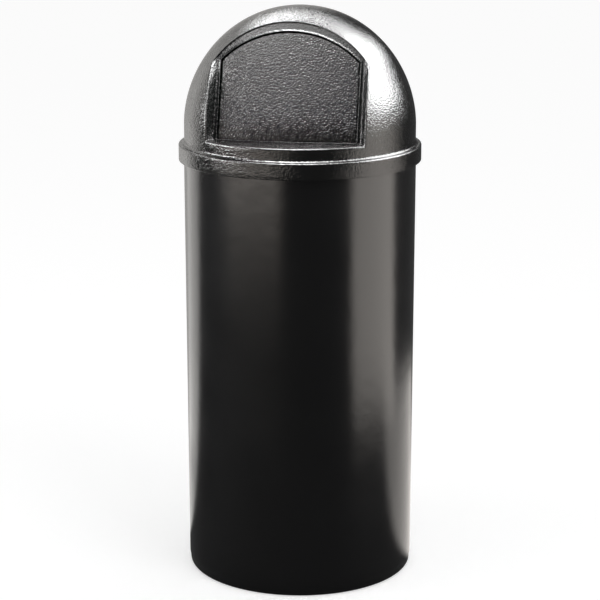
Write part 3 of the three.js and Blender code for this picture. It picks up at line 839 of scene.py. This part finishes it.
rib_foot, rib_head = field_foot + DOOR_WALL / 2, hinge_z - KNUCKLE_RADIUS - RIB_DEPTH
rib_flat = np.array([(face_y(0, z, field_back + behind), z) for behind, z in (
    (-RIB_SINK, rib_foot), (RIB_TIP, rib_foot), (RIB_DEPTH, rib_foot + RIB_SLOPE),
    (RIB_DEPTH, rib_head - RIB_SLOPE), (RIB_TIP, rib_head), (-RIB_SINK, rib_head))])
rib_rows = prism_rows(rib_flat, -RIB_THICKNESS / 2, RIB_THICKNESS / 2)
rib = stitch("rib", rib_rows, door_plastic, capped=True)
ribs = run_tree("door_ribs", rib.data, rib_tree(), {
    "Count": RIB_COUNT, "Spacing": RIB_SPACING, "Bow radius": FACE_BOW_RADIUS, "Finish": door_plastic})
bpy.data.objects.remove(rib)
finish_mesh(ribs)
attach(ribs, "door")
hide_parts("push_door")


def knuckle_rows(side):
    """A knuckle is round behind the rod, and an arm runs forward from it into the door's rim."""
    near, far = sorted((side * KNUCKLE_INNER, side * (KNUCKLE_INNER + KNUCKLE_WIDTH)))
    front = face_y(side * KNUCKLE_INNER, hinge_z, (rim_front + rim_back) / 2) - hinge_y
    outline = []
    for turn in EYE_TURNS:
        c, s = math.cos(turn), math.sin(turn)
        reach = KNUCKLE_RADIUS
        if c < 0:
            flat_side = KNUCKLE_RADIUS * (ARM_TOP if s > 0 else -1) / s if abs(s) > 1e-6 else 1
            reach = max(reach, min(flat_side, front / c))
        outline.append(reach)
    return eye_rows(near, far, np.array(outline), KNUCKLE_BORE_EDGE, KNUCKLE_EDGE)


for side, hand in SIDES:
    knuckle = finish_mesh(stitch(f"door_knuckle_{hand}", knuckle_rows(side), door_plastic))
    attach(knuckle, "door")
    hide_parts("push_door")


# ---- Hinge rod, washers and push nuts --------------------
# A plated steel rod with chamfered ends runs through the lugs and knuckles. A push nut pressed on
# each end keeps it in, and a nylon washer keeps each knuckle off its lug.

ROD_CHAMFER = 0.0007
WASHER_EDGE = 0.0003
NUT_SHEET = 0.0011
RING_FACETS = 48


def metal(name, colour, roughness):
    """Drawn or pressed steel: lines along the work, a little tarnish in patches."""
    material, graph, shader = new_material(name)
    shader["Metallic"].default_value = 1
    place = graph.place()
    along = graph.node("ShaderNodeMapping", Vector=place, Scale=(0.1, 1, 1)).outputs[0]
    lines = graph.noise(along, 2600)
    tarnish = graph.mixed(graph.noise(place, 130, 4), [c * 0.7 for c in colour], colour)
    graph.feed(shader["Base Color"], tarnish)
    graph.feed(shader["Roughness"], graph.spread(lines, roughness * 0.8, roughness * 1.3))
    graph.feed(shader["Normal"], graph.bump(lines, 0.00002))
    return material


def on_hinge(side=1, offset=0.0):
    """Turns a piece from the Z axis to lie along the hinge line, outwards on one side."""
    turn = Matrix.Rotation(side * math.pi / 2, 4, "Y")
    return Matrix.Translation((side * offset, hinge_y, hinge_z)) @ turn


steel = metal("steel", (0.56, 0.57, 0.58), 0.28)
rod_low, rod_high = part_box("hinge_rod")
rod_end = ROD_RADIUS - ROD_CHAMFER
rod = turned("rod", [
    (0, rod_low.x), (rod_end, rod_low.x), (ROD_RADIUS, rod_low.x + ROD_CHAMFER), (ROD_RADIUS, 0),
    (ROD_RADIUS, rod_high.x - ROD_CHAMFER), (rod_end, rod_high.x), (0, rod_high.x),
], steel, RING_FACETS, place=on_hinge())
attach(rod, "lid")
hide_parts("hinge_rod")


def ring_size(low, high):
    """Where a ring on the hinge line starts, its thickness and its radius, from its box."""
    return min(abs(low.x), abs(high.x)), high.x - low.x, (high.z - low.z) / 2


nylon = plastic("nylon", (0.62, 0.6, 0.54), 0.45, ripple_depth=0.00005)
hole = ROD_RADIUS + ROD_CLEARANCE
for side, hand in SIDES:
    near, thick, outer = ring_size(*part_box(f"hinge_washer_{hand}"))
    washer = turned(f"washer_{hand}", [
        (hole, 0), (outer - WASHER_EDGE, 0), (outer, WASHER_EDGE), (outer, thick - WASHER_EDGE),
        (outer - WASHER_EDGE, thick), (hole, thick), (hole, 0),
    ], nylon, RING_FACETS, place=on_hinge(side, near))
    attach(washer, "lid")
    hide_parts(f"hinge_washer_{hand}")

    # A flat rim of sheet with rounded edges, dished outwards to the sharp lip that grips the rod.
    near, thick, outer = ring_size(*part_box(f"push_nut_{hand}"))
    nut = turned(f"nut_{hand}", [
        (hole, thick * 0.55), (hole + 0.0006, thick * 0.2), (outer - 0.0012, 0.0002),
        (outer - 0.0003, 0), (outer, 0.0003), (outer, 0.0008), (outer - 0.0004, NUT_SHEET),
        (outer - 0.0012, NUT_SHEET), (hole + 0.0007, thick * 0.85), (hole + 0.0001, thick),
        (hole, thick - 0.0001), (hole, thick * 0.55),
    ], steel, RING_FACETS, place=on_hinge(side, near))
    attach(nut, "lid")
    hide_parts(f"push_nut_{hand}")


# ---- Door springs ----------------------------------------
# Two torsion springs of hard steel wire, wound round the rod inside the knuckles. One leg of each
# stands under the dome and the other presses on the door's back, so that they push the door shut.

WIRE_RADIUS = 0.0008
COIL_RADIUS = 0.0054
COIL_CURLS = 7
COIL_PITCH = 0.0022
DOOR_LEG = 0.036
DOME_LEG = 0.024
BEND_RADIUS = 3 * WIRE_RADIUS
BEND_STEPS = 8
WIRE_SIDES = 12
CURL_STEPS = 30

spring_steel = metal("spring_steel", (0.42, 0.42, 0.43), 0.34)


def bend(a, b, c):
    """The wire's bend round corner `b`, on its way from `a` to `c`."""
    into = b + (a - b).normalized() * BEND_RADIUS
    out = b + (c - b).normalized() * BEND_RADIUS
    steps = [i / BEND_STEPS for i in range(BEND_STEPS + 1)]
    return [into * (1 - t) ** 2 + b * 2 * t * (1 - t) + out * t ** 2 for t in steps]


def spring_path(side):
    """The wire's middle line: dome leg, coil, door leg and the toe that presses on the door."""
    last = KNUCKLE_INNER - SEAT_GAP - WIRE_RADIUS
    first = last - COIL_CURLS * COIL_PITCH
    start_turn, end_turn = math.pi / 2, math.pi - FACE_LEAN + 2 * math.pi * COIL_CURLS
    steps = round(CURL_STEPS * (end_turn - start_turn) / (2 * math.pi))
    coil = []
    for i in range(steps + 1):
        turn = start_turn + (end_turn - start_turn) * i / steps
        x = side * (first + (last - first) * i / steps)
        coil.append(Vector((
            x, hinge_y + COIL_RADIUS * math.cos(turn), hinge_z + COIL_RADIUS * math.sin(turn))))
    head = coil[0] + Vector((0, DOME_LEG, 0))
    tip = Vector((head.x, head.y, ceiling(head.x, head.y) - 2 * SEAT_GAP))
    heel = coil[-1] + DOOR_LEG * Vector((0, -math.sin(FACE_LEAN), -math.cos(FACE_LEAN)))
    to_door = Vector((0, -math.cos(FACE_LEAN), math.sin(FACE_LEAN)))
    behind = (heel.y - float(face_y(heel.x, heel.z))) * math.cos(FACE_LEAN)
    toe = heel + to_door * (behind - field_back - SEAT_GAP)
    return [tip, *bend(tip, head, coil[0]), *coil, *bend(coil[-1], heel, toe), toe]


def wire_rows(path):
    """Round sections of the wire, each turned as little as can be from the one before."""
    rows = []
    across = Vector((1, 0, 0))
    turns = [2 * math.pi * k / WIRE_SIDES for k in range(WIRE_SIDES)]
    for i, point in enumerate(path):
        along = (path[min(i + 1, len(path) - 1)] - path[max(i - 1, 0)]).normalized()
        across = (across - along * across.dot(along)).normalized()
        third = along.cross(across)
        rows.append(np.array([
            tuple(point + WIRE_RADIUS * (across * math.cos(t) + third * math.sin(t))) for t in turns]))
    return rows


for side, hand in SIDES:
    wire = stitch(f"spring_{hand}", wire_rows(spring_path(side)), spring_steel, capped=True)
    coil_spring = finish_mesh(wire, crease=60)
    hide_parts(f"hinge_spring_{hand}")
    outer = KNUCKLE_INNER - SEAT_GAP - 2 * WIRE_RADIUS
    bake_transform(coil_spring)


# ---- Door bumpers ----------------------------------------
# A small rubber button low on each side of the aperture, on the back of the face, takes the knock of
# the closing door. Each is pressed into the face with a rounded nose towards the door's rim.

NOSE_ROUND = 0.0006
BUMPER_FACETS = 40

for hand in ("left", "right"):
    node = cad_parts[f"door_bumper_{hand}"]
    corners = np.array([v.co for v in node.data.vertices])
    middle = corners.mean(0)
    turn = math.asin(middle[0] / FACE_BOW_RADIUS)
    outward = Vector((
        math.sin(turn), -math.cos(FACE_LEAN) * math.cos(turn), math.sin(FACE_LEAN) * math.cos(turn)))
    along = (corners - middle) @ np.array(outward)
    radius = np.linalg.norm((corners - middle) - along[:, None] * np.array(outward), axis=1).max()
    nose, root = float(along.min()), float(along.max())
    bumper = turned(f"bumper_{hand}", [
        (0, nose), (radius * 0.55, nose + NOSE_ROUND * 0.1), (radius * 0.9, nose + NOSE_ROUND * 0.5),
        (radius, nose + NOSE_ROUND), (radius, root), (0, root),
    ], rubber, BUMPER_FACETS,
        place=Matrix.Translation(middle) @ outward.to_track_quat("Z", "X").to_matrix().to_4x4())
    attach(bumper, "lid")
    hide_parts(f"door_bumper_{hand}")


# ---- Camera ----------------------------------------------
# It stands a little to the right of the doorway and looks down on the lid, as the photograph does.

CAMERA_AZIMUTH = 0.17214
CAMERA_DISTANCE = 3.2928
CAMERA_HEIGHT = 1.288
CAMERA_PITCH = 0.25061
FOCAL_PIXELS = 2071.7
PICTURE_PIXELS = 600

camera_data = bpy.data.cameras.new("camera")
camera_data.sensor_width = 36
camera_data.lens = camera_data.sensor_width * FOCAL_PIXELS / PICTURE_PIXELS
camera_data.clip_end = 100
camera = new_object("camera", camera_data)
camera.location = (
    CAMERA_DISTANCE * math.sin(CAMERA_AZIMUTH), -CAMERA_DISTANCE * math.cos(CAMERA_AZIMUTH), CAMERA_HEIGHT)
camera.rotation_euler = (math.pi / 2 - CAMERA_PITCH, 0, CAMERA_AZIMUTH)
scene.camera = camera


# ---- Floor and room --------------------------------------
# A plain pale floor under a plain pale room. Both are lit softly from above and from the sides.

ROOM_LIGHT = 0.7
FLOOR_GLOW = 0.4
FLOOR_HALF = 12


def seen_ray(graph):
    """1 where a ray comes from the camera, a mirror or glass."""
    path = graph.node("ShaderNodeLightPath").outputs
    seen = graph.maths("MAXIMUM", path["Is Camera Ray"], path["Is Glossy Ray"])
    return graph.maths("MAXIMUM", seen, path["Is Transmission Ray"])


world = bpy.data.worlds.new("room")
scene.world = world
world.use_nodes = True
world.cycles.sampling_method = "NONE"
room = Graph(world.node_tree)
background = room.nodes["Background"].inputs
background["Color"].default_value = (1, 1, 1, 1)
room.feed(background["Strength"], room.spread(seen_ray(room), ROOM_LIGHT, 1))


def rectangle(name, left, front, right, back):
    corners = [(left, front, 0), (right, front, 0), (right, back, 0), (left, back, 0)]
    return new_object(name, new_mesh(name, corners, [(0, 1, 2, 3)]))


floor = rectangle("floor", -FLOOR_HALF, -FLOOR_HALF, FLOOR_HALF, FLOOR_HALF)
pale, paint, pale_shader = new_material("pale_floor")
pale_shader["Base Color"].default_value = (0.8, 0.8, 0.8, 1)
pale_shader["Roughness"].default_value = 0.9
pale_shader["Specular IOR Level"].default_value = 0
pale_shader["Emission Color"].default_value = (1, 1, 1, 1)
paint.feed(pale_shader["Emission Strength"], paint.times(seen_ray(paint), FLOOR_GLOW))
floor.data.materials.append(pale)


def softbox(name, place, size, watts):
    """A square light that only the matt surfaces see, turned to the middle of the object."""
    lamp = bpy.data.lights.new(name, "AREA")
    lamp.shape = "RECTANGLE"
    lamp.size, lamp.size_y, lamp.energy = size, size, watts
    box = new_object(name, lamp)
    box.location = place
    box.rotation_euler = (Vector((0, 0, 0.5)) - Vector(place)).to_track_quat("-Z", "Y").to_euler()
    box.visible_glossy = False
    box.visible_camera = False


softbox("key", (1.9, -1.6, 2.6), 1.6, 16)
softbox("fill", (-2.2, -1.2, 1.6), 1.8, 8)


# ---- Cards -----------------------------------------------
# White and dark cards round the object, which only its gloss sees: they draw the bright bank on the
# right, the band over the arch, and the dark bands down the front of the container. One more card, a
# louvred softbox close in front of the door, lights the door from its top left.

CARD_RADIUS = 6.0
CARD_CENTRE = 0.45
CARD_BLACK = 0.08
CARD_LIFT = 0.0006
CARD_SIDES = 72

# Azimuth from, to and feather; elevation from, to and feather; strength; colour.
CARDS = [
    (78, 128, 12, 12, 58, 7, 24, (1, 1, 1)),
    (132, 150, 12, 26, 58, 8, 22, (1, 1, 1)),
    (61, 113, 10, -22, 8, 12, 2.8, (1, 0.94, 0.88)),
    (98, 160, 14, -80, -20, 6, 1.3, (1, 0.95, 0.9)),
    (194, 224, 12, 40, 58, 7, 16, (1, 1, 1)),
    (150, 194, 12, 47, 58, 7, 17, (1, 1, 1)),
    (-85, 85, 12, 66, 86, 6, 50, (1, 1, 1)),
    (-60, 50, 12, 52, 64, 3, 9.5, (1, 1, 1)),
    (-92, -52, 8, 5, 22, 5, 27, (1, 1, 1)),
    (-62, -8, 10, -9, 8, 6, 0.9, (1, 0.9, 0.8)),
    (-72, -10, 12, -6.8, 8, 1.6, 2.4, (1, 0.94, 0.88)),
    (222, 253, 7, -32, 50, 10, 1.6, (1, 0.98, 0.95)),
    (222, 253, 7, -80, -32, 10, 1.1, (1, 0.98, 0.95)),
    (184, 222, 8, -80, 41, 10, 0.6, (1, 0.98, 0.95)),
]

# The near card: its direction and distance from the middle of the door, the size of its sheet, the
# lit part as start, end and feather, how its light falls off to the right, and its crossed louvres.
DOOR_MIDDLE = Vector((0, -0.125, 0.81))
NEAR_AZIMUTH = math.radians(-11)
NEAR_RISE = math.radians(30.5)
NEAR_DISTANCE = 0.4
NEAR_HALF, NEAR_FOOT, NEAR_HEAD = 0.6, -0.3, 0.4
NEAR_ACROSS = (-0.26, 0.28, 0.06)
NEAR_UP = (0.022, 0.22, 0.05)
NEAR_FADE, NEAR_LEFT_FADE, NEAR_LEFT_SLOPE = 0.72, 0.5, -5
NEAR_STRENGTH = 6.6
LOUVRE_PITCH = 0.08
LOUVRE_DEPTH = 0.9


def window(graph, value, low, high, feather):
    """1 between two values and 0 outside, with soft edges."""
    edges = [graph.node("ShaderNodeMapRange", {"interpolation_type": "SMOOTHSTEP"},
                        Value=value, From_Min=start, From_Max=end).outputs["Result"]
             for start, end in ((low - feather / 2, low + feather / 2),
                                (high + feather / 2, high - feather / 2))]
    return graph.times(*edges)


def glowing(thing, name):
    """Hides a thing from all but glossy rays; its graph, its coordinates and its surface socket."""
    for ray in ("camera", "diffuse", "transmission", "volume_scatter", "shadow"):
        setattr(thing, f"visible_{ray}", False)
    material, graph, _ = new_material(name)
    graph.nodes.remove(graph.nodes["Principled BSDF"])
    thing.data.materials.append(material)
    return graph, graph.split(graph.place()), graph.nodes["Material Output"].inputs["Surface"]


def card_dome():
    """A dome over the floor's plane, with a flat foot, that carries the cards."""
    heights = np.radians(np.arange(10, 90, 10))
    rings = [(0.001, 0), (CARD_RADIUS, 0)]
    rings += [(CARD_RADIUS * math.cos(t), CARD_RADIUS * math.sin(t)) for t in heights]
    rings += [(0, CARD_RADIUS)]
    turns = [2 * math.pi * k / CARD_SIDES for k in range(CARD_SIDES)]
    points = [(r * math.cos(t), r * math.sin(t), z + CARD_LIFT) for r, z in rings for t in turns]
    return new_mesh("cards", points, band_faces(len(rings) - 1, len(rings), CARD_SIDES))


def light_cards(thing):
    """Paints every card by its azimuth and elevation, in degrees, over the dark of the dome."""
    graph, (x, y, z), surface = glowing(thing, "cards")
    maths, times = graph.maths, graph.times
    turn = times(maths("ARCTAN2", x, times(y, -1)), 180 / math.pi)
    turn = maths("ADD", turn, times(maths("LESS_THAN", turn, -90), 360))
    away = maths("SQRT", maths("ADD", times(x, x), times(y, y)))
    rise = times(maths("ARCTAN2", maths("SUBTRACT", z, CARD_CENTRE), away), 180 / math.pi)
    light = graph.vector(X=CARD_BLACK, Y=CARD_BLACK, Z=CARD_BLACK)
    for az_low, az_high, az_feather, el_low, el_high, el_feather, strength, colour in CARDS:
        share = times(window(graph, turn, az_low, az_high, az_feather),
                      window(graph, rise, el_low, el_high, el_feather))
        card = graph.node("ShaderNodeVectorMath", {"operation": "SCALE"}, Scale=share)
        card.inputs[0].default_value = [c * strength for c in colour]
        added = graph.node("ShaderNodeVectorMath", {"operation": "ADD"})
        graph.feed(added.inputs[0], light)
        graph.feed(added.inputs[1], card.outputs[0])
        light = added.outputs[0]
    graph.feed(surface, graph.node("ShaderNodeEmission", Color=light).outputs[0])


def light_near_card(thing):
    """Adds the near card's light to what is seen through it."""
    graph, (across, up, _), surface = glowing(thing, "near_card")
    maths, times = graph.maths, graph.times
    share = times(window(graph, across, *NEAR_ACROSS), window(graph, up, *NEAR_UP))
    fade = maths("MAXIMUM", maths("SUBTRACT", NEAR_FADE, across),
                 maths("MULTIPLY_ADD", across, NEAR_LEFT_SLOPE, NEAR_LEFT_FADE))
    louvres = [maths("SINE", times(value, 2 * math.pi / LOUVRE_PITCH)) for value in (across, up)]
    lattice = maths("ADD", 1, times(times(*louvres), LOUVRE_DEPTH))
    strength = times(times(share, fade), times(lattice, NEAR_STRENGTH))
    joined = graph.node("ShaderNodeAddShader")
    graph.feed(joined.inputs[0], graph.node("ShaderNodeBsdfTransparent").outputs[0])
    graph.feed(joined.inputs[1], graph.node("ShaderNodeEmission", Strength=strength).outputs[0])
    graph.feed(surface, joined.outputs[0])


cards = new_object("cards", card_dome())
light_cards(cards)

near_card = rectangle("near_card", -NEAR_HALF, NEAR_FOOT, NEAR_HALF, NEAR_HEAD)
towards_card = Vector((
    math.sin(NEAR_AZIMUTH) * math.cos(NEAR_RISE), -math.cos(NEAR_AZIMUTH) * math.cos(NEAR_RISE),
    math.sin(NEAR_RISE)))
near_card.location = DOOR_MIDDLE + towards_card * NEAR_DISTANCE
near_card.rotation_euler = towards_card.to_track_quat("Z", "Y").to_euler()
light_near_card(near_card)

scene.view_settings.view_transform = "Standard"
